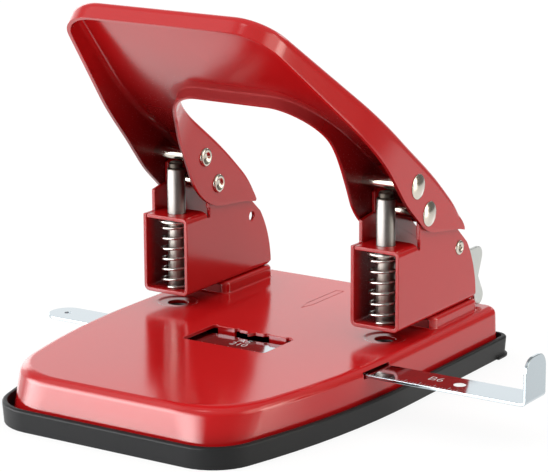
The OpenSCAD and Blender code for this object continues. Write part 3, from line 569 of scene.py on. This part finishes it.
def handle_station(step):
    """Outer point, its outward direction, inner point and its direction, at a step along the right half."""
    if step < ARM_STEPS:
        along = -HANDLE_TAIL + (WINDOW_START + HANDLE_TAIL) * step / ARM_STEPS
        return (ARM_OUT, along), (1, 0), (ARM_IN, along), (-1, 0)
    step -= ARM_STEPS
    if step < BOW_STEPS:
        part = step / BOW_STEPS
        turn = TAPER * part
        outer = ARM_OUT - TAPER_R * (1 - math.cos(turn)), TAPER_START + TAPER_R * math.sin(turn)
        return outer, round_point(turn), *window_edge(BOW_TURN * part)
    step -= BOW_STEPS
    if step < LINE_STEPS:
        part = step / LINE_STEPS
        outer = BOW_X + (LINE_X - BOW_X) * part, BOW_ALONG + (LINE_ALONG - BOW_ALONG) * part
        return outer, round_point(TAPER), *window_edge(BOW_TURN + (LINE_TURN - BOW_TURN) * part)
    step -= LINE_STEPS
    if step < CORNER_STEPS:
        part = step / CORNER_STEPS
        turn = TAPER + (math.pi / 2 - TAPER) * part
        outer = CORNER_X + CORNER_R * math.cos(turn), HANDLE_REACH - CORNER_R * (1 - math.sin(turn))
        return outer, round_point(turn), *window_edge(LINE_TURN + (CORNER_TURN - LINE_TURN) * part)
    part = 1 - (step - CORNER_STEPS) / FRONT_STEPS
    return (CORNER_X * part, HANDLE_REACH), (0, 1), (WINDOW_HALF * part, WINDOW_FRONT), (0, -1)


def handle_point(step, line):
    """Point of the handle's outer skin in the handle's own frame, at a step along and a cell line across."""
    mirrored = step > HALF_STEPS
    outer, outward, inner, inward = handle_station(2 * HALF_STEPS - step if mirrored else step)
    low_out, low_in = curve(OUTER_EDGE, outer[1]), curve(INNER_EDGE, inner[1])
    top_out, top_in = plate_top(outer[1]), plate_top(inner[1]) - PLATE_FALL
    fold_out = fold_radius(FOLD_OUT, top_out - low_out)
    fold_in = fold_radius(FOLD_IN, top_in - low_in)

    def at(point, away, depth, height):
        return Vector((point[0] - away[0] * depth, away[1] * depth - point[1], height))

    def fold(point, away, radius, top, part):
        turn = math.pi / 2 * part
        return at(point, away, radius * (1 - math.cos(turn)), top - radius + radius * math.sin(turn))

    if line <= FLANGE_CELLS:
        part = line / FLANGE_CELLS
        place = at(outer, outward, 0, low_out + (top_out - fold_out - low_out) * part)
    elif line <= FLANGE_CELLS + FOLD_CELLS:
        place = fold(outer, outward, fold_out, top_out, (line - FLANGE_CELLS) / FOLD_CELLS)
    elif line <= FLANGE_CELLS + FOLD_CELLS + PLATE_CELLS:
        part = (line - FLANGE_CELLS - FOLD_CELLS) / PLATE_CELLS
        place = fold(outer, outward, fold_out, top_out, 1).lerp(fold(inner, inward, fold_in, top_in, 1), part)
    elif line <= ACROSS - FLANGE_CELLS:
        place = fold(inner, inward, fold_in, top_in, (ACROSS - FLANGE_CELLS - line) / FOLD_CELLS)
    else:
        part = (ACROSS - line) / FLANGE_CELLS
        place = at(inner, inward, 0, low_in + (top_in - fold_in - low_in) * part)
    if mirrored:
        place.x = -place.x
    return place


def pressed_handle():
    """The handle as one pressed sheet: a grid laid along the arms and round the front, then thickened."""
    on_pivot = (Matrix.Translation((0, PIVOT[0] * MM, PIVOT[1] * MM))
                @ Matrix.Rotation(-HANDLE_SLOPE, 4, "X") @ Matrix.Scale(MM, 4))
    shape = bmesh.new()
    bmesh.ops.create_grid(shape, x_segments=2 * HALF_STEPS, y_segments=ACROSS, size=1)
    for corner in shape.verts:
        step = round((corner.co.x + 1) * HALF_STEPS)
        line = round((corner.co.y + 1) * ACROSS / 2)
        corner.co = on_pivot @ handle_point(step, line)
    up = on_pivot.to_3x3() @ Vector((0, 0, 1))
    shape.normal_update()
    if sum(face.normal.dot(up) * face.calc_area() for face in shape.faces) < 0:
        bmesh.ops.reverse_faces(shape, faces=shape.faces[:])
    made = piece("pressed_handle", shape, "handle_body", HANDLE_RED, angle=60,
                 replaces=["handle"])
    wall = made.modifiers.new("sheet", "SOLIDIFY")
    wall.thickness = SHEET * MM
    wall.offset = -1
    wall.use_even_offset = True
    wall.use_quality_normals = True
    bevelled(made, "rolled_edges", width=0.42, angle=55, segments=4)


# Coil: turns and rise of its flatter ends, turns between them; steps of a turn, sides of the wire
END_TURNS, END_RISE, OPEN_TURNS = 0.5, 0.7, 5.6
TURN_STEPS, WIRE_SIDES = 40, 14


def coil_spring(side, x):
    """Round wire wound in even turns, with the ends laid flatter, riding with the punch."""
    mean_r = (SPRING_D - SPRING_WIRE) / 2
    open_rise = SPRING_TOP - SPRING_FOOT - SPRING_WIRE - 2 * END_RISE
    shape = bmesh.new()
    ring = bmesh.ops.create_circle(shape, segments=WIRE_SIDES, radius=SPRING_WIRE / 2)["verts"]
    bmesh.ops.rotate(shape, cent=(0, 0, 0), matrix=Matrix.Rotation(math.pi / 2, 3, "X"), verts=ring)
    bmesh.ops.translate(shape, vec=(mean_r, 0, SPRING_FOOT + SPRING_WIRE / 2), verts=ring)
    tip = shape.verts[:] + shape.edges[:]
    for turns, rise in ((END_TURNS, END_RISE), (OPEN_TURNS, open_rise), (END_TURNS, END_RISE)):
        steps = round(turns * TURN_STEPS)
        tip = bmesh.ops.spin(shape, geom=tip, cent=(0, 0, 0), axis=(0, 0, 1), dvec=(0, 0, rise / steps),
                             angle=turns * math.tau, steps=steps, use_merge=False)["geom_last"]
    bmesh.ops.holes_fill(shape, edges=shape.edges[:])
    bmesh.ops.recalc_face_normals(shape, faces=shape.faces[:])
    turned = Matrix.Scale(MM, 4) @ Matrix.Translation((x, 0, 0)) @ Matrix.Rotation(-math.pi / 2, 4, "Z")
    bmesh.ops.transform(shape, matrix=turned, verts=shape.verts[:])
    made = piece(side + "_coil", shape, side + "_punch_body", SPRING, angle=50,
                 replaces=[side + "_spring"])
    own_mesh(made)


def spun(profile, place, steps=64):
    """A turned body: the profile of radius and height, spun round its axis and set in place."""
    shape = bmesh.new()
    corners = [shape.verts.new((radius, 0, height)) for radius, height in profile]
    for first, second in zip(corners, corners[1:]):
        shape.edges.new((first, second))
    bmesh.ops.spin(shape, geom=shape.verts[:] + shape.edges[:], cent=(0, 0, 0), axis=(0, 0, 1),
                   angle=math.tau, steps=steps, use_merge=True)
    bmesh.ops.remove_doubles(shape, verts=shape.verts[:], dist=0.0005)
    bmesh.ops.recalc_face_normals(shape, faces=shape.faces[:])
    bmesh.ops.transform(shape, matrix=Matrix.Scale(MM, 4) @ place, verts=shape.verts[:])
    return shape


def dome(radius, low, high, steps=8):
    """Profile of a domed head, from its rim to its top."""
    rise = high - low
    ball = (radius * radius + rise * rise) / (2 * rise)
    rings = [radius * (1 - step / steps) for step in range(steps + 1)]
    return [(ring, high - ball + math.sqrt(ball ** 2 - ring ** 2)) for ring in rings]


# Length of a pin between the outer faces of an arm's flanges
GRIP = ARM_OUT - ARM_IN
# Rolled end with its cup, shank, domed head: radius and distance from the face of the inner flange
PIN_PROFILE = ([(0, -0.04), (0.9, -0.07), (1.2, -0.2), (1.5, -0.42), (1.8, -0.6), (2.1, -0.71),
                (2.4, -0.75), (2.72, -0.68), (2.95, -0.5), (3.1, -0.26), (3.15, 0), (PIN_R, 0),
                (PIN_R, GRIP), (PIN_HEAD_R - 0.1, GRIP), (PIN_HEAD_R, GRIP + 0.1)]
               + dome(PIN_HEAD_R, GRIP + 0.2, GRIP + PIN_HEAD_H))
# Hollow tip, bar with the groove of the clip, rounded shoulder, neck: radius and height over the table
PUNCH_PROFILE = ((0, PUNCH_TIP + 0.8), (PUNCH_R - 0.05, PUNCH_TIP), (PUNCH_R, PUNCH_TIP + 0.1),
                 (PUNCH_R, CLIP_GROOVE[0]), (GROOVE_R, CLIP_GROOVE[0]), (GROOVE_R, CLIP_GROOVE[1]),
                 (PUNCH_R, CLIP_GROOVE[1]), (PUNCH_R, NECK_FOOT), (PUNCH_R - 0.2, PUNCH_SHOULDER - 0.25),
                 (NECK_R, PUNCH_SHOULDER), (NECK_R, PUNCH_TOP - 0.5), (NECK_R - 0.5, PUNCH_TOP),
                 (0, PUNCH_TOP))
# Hollow of the rolled end, roll, shank, flat head: radius and distance from the middle of the base
LATCH_PIN_PROFILE = ((0, 47.9), (0.6, 47.95), (0.8, 48.3), (0.92, 48.9), (1.08, 49.2), (1.35, 49.37),
                     (1.7, 49.4), (2.0, 49.36), (2.22, 49.22), (2.36, 49.0), (2.4, 48.8), (1.55, 48.8),
                     (1.55, 45.8), (3.1, 45.8), (3.1, 44.9), (3.0, 44.8), (0, 44.8))
# Bead on the gauge: radius and height
PIP_PROFILE = [(2.0, 0.0), (1.75, 0.03)] + dome(1.55, 0.08, 0.45)


def turned_punch(side, x):
    shape = spun(PUNCH_PROFILE, Matrix.Translation((x, 0, 0)))
    piece(side + "_punch_turned", shape, side + "_punch_body", PUNCH, angle=30,
          replaces=[side + "_punch"])


def handle_pin(side, sign, name, place):
    """Rivet pin through one arm: its rolled end looks to the window, its head outwards."""
    axis = Matrix.Translation((sign * ARM_IN, *place)) @ Matrix.Rotation(sign * math.pi / 2, 4, "Y")
    node = side + "_" + name
    made = piece(node + "_turned", spun(PIN_PROFILE, axis), "handle_body", PIN, angle=40,
                 replaces=[node])
    round_edges(made, width=0.08, angle=50, segments=2)


def latch_pin():
    """Rivet of the latch: flat head inside the tower, rolled hollow end on its outer wall."""
    axis = Matrix.Translation((0, *LATCH_PIVOT)) @ Matrix.Rotation(math.pi / 2, 4, "Y")
    piece("latch_rivet_turned", spun(LATCH_PIN_PROFILE, axis), "base_body", PIN, angle=40,
          replaces=["latch_rivet"])


# Arrow on the deck in millimetres: corners, width of its line, depth of its foot, height, rounding
ARROW = ((-2.3, 38.7), (-2.3, 20.5), (-0.9, 15.0), (0.4, 20.5), (0.4, 39.4))
ARROW_LINE, ARROW_SUNK, ARROW_H, ARROW_EDGE = 0.7, 0.36, 0.43, 0.33


def deck_arrow():
    """Fine pressed line on the deck round an arrow that shows which way the paper goes in."""
    shape = bmesh.new()
    corners = [shape.verts.new((x * MM, y * MM, (DECK_H - ARROW_SUNK) * MM)) for x, y in ARROW]
    inside = shape.faces.new(corners)
    bmesh.ops.inset_region(shape, faces=[inside], thickness=ARROW_LINE * MM, use_boundary=True,
                           use_even_offset=True)
    bmesh.ops.delete(shape, geom=[inside], context="FACES")
    raised = bmesh.ops.extrude_face_region(shape, geom=shape.faces[:])["geom"]
    tops = [part for part in raised if isinstance(part, bmesh.types.BMVert)]
    bmesh.ops.translate(shape, vec=(0, 0, ARROW_H * MM), verts=tops)
    bmesh.ops.recalc_face_normals(shape, faces=shape.faces[:])
    made = piece("deck_arrow", shape, "base_body", RED, angle=50)
    round_edges(made, ARROW_EDGE, segments=5)


# Paper sizes on the gauge by half their length, and the one that is etched at the edge of the base too
PAPERS = (("A5", 105.0), ("B6", 88.0), ("A6", 74.0))
EDGE_PAPER = "B6"
# Their signs in millimetres: back from the middle of the strip at the window and at the edge, out from the
# edge, rise over the chrome, half the thickness
WINDOW_SIGN_BACK, EDGE_SIGN_BACK, EDGE_SIGN_OUT = 1.6, 1.2, 1.6
SIGN_RISE, SIGN_HALF_T = 0.005, 0.004
# Place of the pip along the gauge, and how deep its foot is in the chrome
PIP_X, PIP_SUNK = 81.0, 0.01


def gauge_sign(name, words, x, y, tall, thin):
    """Etched paper size on the strip, read from the front."""
    writing = bpy.data.curves.new(name, "FONT")
    writing.body = words
    writing.size = tall * MM
    writing.extrude = SIGN_HALF_T * MM
    writing.offset = -thin * MM
    writing.space_line = 0.85
    writing.align_x = writing.align_y = "CENTER"
    holder = bpy.data.objects.new(name + "_writing", writing)
    flat = bpy.data.meshes.new_from_object(holder)
    shape = bmesh.new()
    shape.from_mesh(flat)
    bpy.data.objects.remove(holder)
    bmesh.ops.remove_doubles(shape, verts=shape.verts[:], dist=0.001 * MM)
    bmesh.ops.translate(shape, vec=(x * MM, y * MM, (GAUGE_TOP + SIGN_RISE) * MM), verts=shape.verts[:])
    piece(name, shape, "gauge_body", MARK, angle=30)


def gauge_marks():
    """Signs read at the pointer in the window and at the edge of the base, and a pip."""
    for size, half_length in PAPERS:
        shift = STOP_FACE - half_length
        rows = "%s\n%d" % (size, 2 * half_length)
        gauge_sign("sign_window_" + size, rows, POINTER_X + shift, GAUGE_MID + WINDOW_SIGN_BACK,
                   tall=4.2, thin=0.06)
        if size == EDGE_PAPER:
            gauge_sign("sign_edge_" + size, size, SLOT_EDGE_X + EDGE_SIGN_OUT + shift,
                       GAUGE_MID + EDGE_SIGN_BACK, tall=5.0, thin=0.12)
    pip = spun(PIP_PROFILE, Matrix.Translation((PIP_X, GAUGE_MID, GAUGE_TOP - PIP_SUNK)))
    piece("gauge_pip", pip, "gauge_body", MARK, angle=60)


finished("chip_tray", TRAY, edge=0.3, angle=30)
soft_cover()
for side, sign in (("left", -1), ("right", 1)):
    finished(side + "_die", DIE, edge=0.15)
    finished(side + "_tower", RED, edge=0.28, angle=34)
    turned_punch(side, sign * PUNCH_X)
    finished(side + "_washer", RIVET, edge=0.12)
    finished(side + "_clip", DIE, edge=0.08)
    handle_pin(side, sign, "drive_pin", DRIVE)
    handle_pin(side, sign, "pivot_pin", PIVOT)
    coil_spring(side, sign * PUNCH_X)
finished("tower_rivets", RIVET)
finished("lock_latch", LATCH, edge=0.2)
latch_pin()
finished("paper_gauge", CHROME, edge=0.18)
finished("gauge_springs", SPRING, edge=0.1)
pressed_handle()
deck_arrow()
gauge_marks()


# Stage, light and camera. A direction is an azimuth and an elevation in degrees. A light fades between two
# values: cosines of the angle from its direction, or the sides, depths or heights of a direction.
# Room in the gloss: its light, its shade at the front right, pale sweep behind and panel at the front left
ROOM = 0.42
ROOM_SHADE, SHADE_AT, SHADE_EDGE = 0.6, (35, 8), (0.7, 0.95)
SWEEP_LEFT, SWEEP_RIGHT, SWEEP_SIDES = 1.28, 0.2, (-0.3, 0.1)
SWEEP_DEPTH, SWEEP_TOP = (-0.1, 0.3), (0.315, 0.42)
PANEL_LIGHT, PANEL_AT, PANEL_EDGE, PANEL_TOP = 11.0, (-38, 0), (0.55, 0.88), (0.06, 0.64)
# Lamps and cards of the studio as the gloss shows them: direction, bright core, faded rim, light
MIRRORED_LAMPS = (((100, 25), 2, 28, 2.4), ((113, 9), 4, 14, 5.0), ((-127, 12), 4, 14, 1.8),
                  ((176, 22), 2, 7, 4.0), ((0, 69), 3, 9, 2.5), ((122, 38), 3, 9, 1.8),
                  ((-62, 48), 6, 26, 0.6))
# Soft light on the dull side of every surface: all round but for a gap at the front right, from above, and
# from lamps at the front left, at the right and high at the front: direction, fade, light
PLAIN_LIGHT, GAP_AT, GAP_EDGE = 0.36, (30, 5), (0.55, 0.95)
SKY_LIGHT, SKY_EDGE = 1.22, (0.35, 0.8)
SOFT_LAMPS = (((-30, 12), (0.6, 0.95), 0.9), ((115, 12), (0.6, 0.95), 0.52), ((-20, 50), (0.75, 0.97), 0.8))
# Light from the right is warmer
WARM_WHITE, WARM_SIDES = colour(1, 0.96, 0.86), (0.1, 0.7)
# Floor: half its width in metres, its white to the camera, its light in the gloss, and how that goes dark:
# least light, then the depth, azimuth and distances in metres of the dusk and of the night
FLOOR_HALF, FLOOR_WHITE, FLOOR_GLOW, FLOOR_LEAST = 3.0, 0.86, 1.35, 0.08
DUSK, DUSK_AT, DUSK_EDGE = 0.72, 35, (0.02, 0.2)
NIGHT, NIGHT_AT, NIGHT_EDGE = 0.9, 145, (0.4, 0.6)
MIRROR_RAYS = ("Is Glossy Ray", "Is Transmission Ray")
CAMERA_RAY = "Is Camera Ray"


def studio_world():
    """White behind the object; in its gloss a dim room with soft lamps; plain light for the rest."""
    world = bpy.data.worlds.new("studio")
    bpy.context.scene.world = world
    look = Look(world)
    way = look.add("ShaderNodeTexCoord", out="Generated")
    side, depth, rise = look.split(way)

    def near(place, low, high):
        return look.fade(look.toward(way, *place), low, high)

    def sky(shade, strength):
        return look.add("ShaderNodeBackground", {}, {"Color": shade, "Strength": strength})

    behind = look.fade(depth, *SWEEP_DEPTH) * (1 - look.fade(rise, *SWEEP_TOP))
    sweep = SWEEP_LEFT + (SWEEP_RIGHT - SWEEP_LEFT) * look.fade(side, *SWEEP_SIDES)
    room = ROOM * (1 - ROOM_SHADE * near(SHADE_AT, *SHADE_EDGE)) + behind * (sweep - ROOM)
    room += PANEL_LIGHT * near(PANEL_AT, *PANEL_EDGE) * (1 - look.fade(rise, *PANEL_TOP))
    for place, core, rim, light in MIRRORED_LAMPS:
        room += light * near(place, math.cos(math.radians(rim)), math.cos(math.radians(core)))
    plain = PLAIN_LIGHT * (1 - near(GAP_AT, *GAP_EDGE)) + SKY_LIGHT * look.fade(rise, *SKY_EDGE)
    for place, edge, light in SOFT_LAMPS:
        plain += light * near(place, *edge)
    mirrored = look.ray(*MIRROR_RAYS)
    level = mirrored * room + (1 - mirrored) * plain
    lit = look.blend(sky(WHITE, level), sky(WARM_WHITE, level), look.fade(side, *WARM_SIDES))
    seen = look.blend(lit, sky(WHITE, 1.0), look.ray(CAMERA_RAY))
    look.add("ShaderNodeOutputWorld", {}, {"Surface": seen})


def pale_floor():
    """Pale table, white to the camera with a soft shadow; in the gloss it is lit, dusky to the front right,
    and ends in the dark far off at the rear right."""
    look = new_look("pale_floor")
    spot = look.add("ShaderNodeTexCoord", out="Object")

    def far(azimuth, low, high):
        return look.fade(look.toward(spot, azimuth, 0), low, high)

    def glow(light):
        return look.add("ShaderNodeEmission", {}, {"Color": WHITE, "Strength": light})

    mirrored = look.ray(*MIRROR_RAYS)
    dark = look.larger(DUSK * far(DUSK_AT, *DUSK_EDGE), NIGHT * far(NIGHT_AT, *NIGHT_EDGE))
    card = look.blend(glow(1.0), glow(FLOOR_GLOW), mirrored)
    white = look.blend(card, glow(FLOOR_LEAST), mirrored * dark)
    lit = look.add("ShaderNodeBsdfDiffuse", {}, {"Color": colour(0.88, 0.88, 0.88)})
    whiteness = FLOOR_WHITE * look.ray(CAMERA_RAY) + (0.6 + 0.4 * dark) * mirrored
    polish = look.add("ShaderNodeBsdfGlossy", {}, {"Color": WHITE, "Roughness": 0.05})
    glance = look.add("ShaderNodeFresnel", {}, {"IOR": 1.5}) * mirrored
    table = look.blend(look.blend(lit, white, whiteness), polish, glance)
    look.add("ShaderNodeOutputMaterial", {}, {"Surface": table})
    return look.owner


def stage_floor():
    shape = bmesh.new()
    bmesh.ops.create_grid(shape, x_segments=1, y_segments=1, size=FLOOR_HALF)
    mesh = bpy.data.meshes.new("floor")
    shape.to_mesh(mesh)
    shape.free()
    mesh.materials.append(pale_floor())
    floor = bpy.data.objects.new("floor", mesh)
    bpy.context.scene.collection.objects.link(floor)


# Camera as fitted to the photograph: its turn, the point it looks at and from how far, its lens and the
# picture in pixels, and the width of its sensor in millimetres
AZIMUTH, ELEVATION, ROLL = math.radians(33.45), math.radians(14.29), math.radians(-0.33)
AIM = Vector((9.37, -22.65, 50.0)) * MM
DISTANCE = 795.92 * MM
FOCAL_PX, CENTRE_PX, PICTURE = 2553.89, (264.0, 238.32), (548, 472)
SENSOR = 36.0


def fitted_camera():
    ahead = Vector((-math.sin(AZIMUTH) * math.cos(ELEVATION), math.cos(AZIMUTH) * math.cos(ELEVATION),
                    -math.sin(ELEVATION)))
    level = Vector((math.cos(AZIMUTH), math.sin(AZIMUTH), 0))
    upright = level.cross(ahead)
    right = math.cos(ROLL) * level + math.sin(ROLL) * upright
    upward = math.cos(ROLL) * upright - math.sin(ROLL) * level
    lens = bpy.data.cameras.new("camera")
    lens.sensor_fit = "HORIZONTAL"
    lens.sensor_width = SENSOR
    lens.lens = FOCAL_PX / PICTURE[0] * SENSOR
    lens.shift_x = (PICTURE[0] / 2 - CENTRE_PX[0]) / PICTURE[0]
    lens.shift_y = (CENTRE_PX[1] - PICTURE[1] / 2) / PICTURE[0]
    lens.clip_start, lens.clip_end = 0.01, 20.0
    camera = bpy.data.objects.new("camera", lens)
    bpy.context.scene.collection.objects.link(camera)
    turn = Matrix((right, upward, -ahead)).transposed()
    camera.matrix_world = Matrix.Translation(AIM - ahead * DISTANCE) @ turn.to_4x4()
    bpy.context.scene.camera = camera


studio_world()
stage_floor()
fitted_camera()
bpy.context.scene.view_settings.view_transform = "Standard"
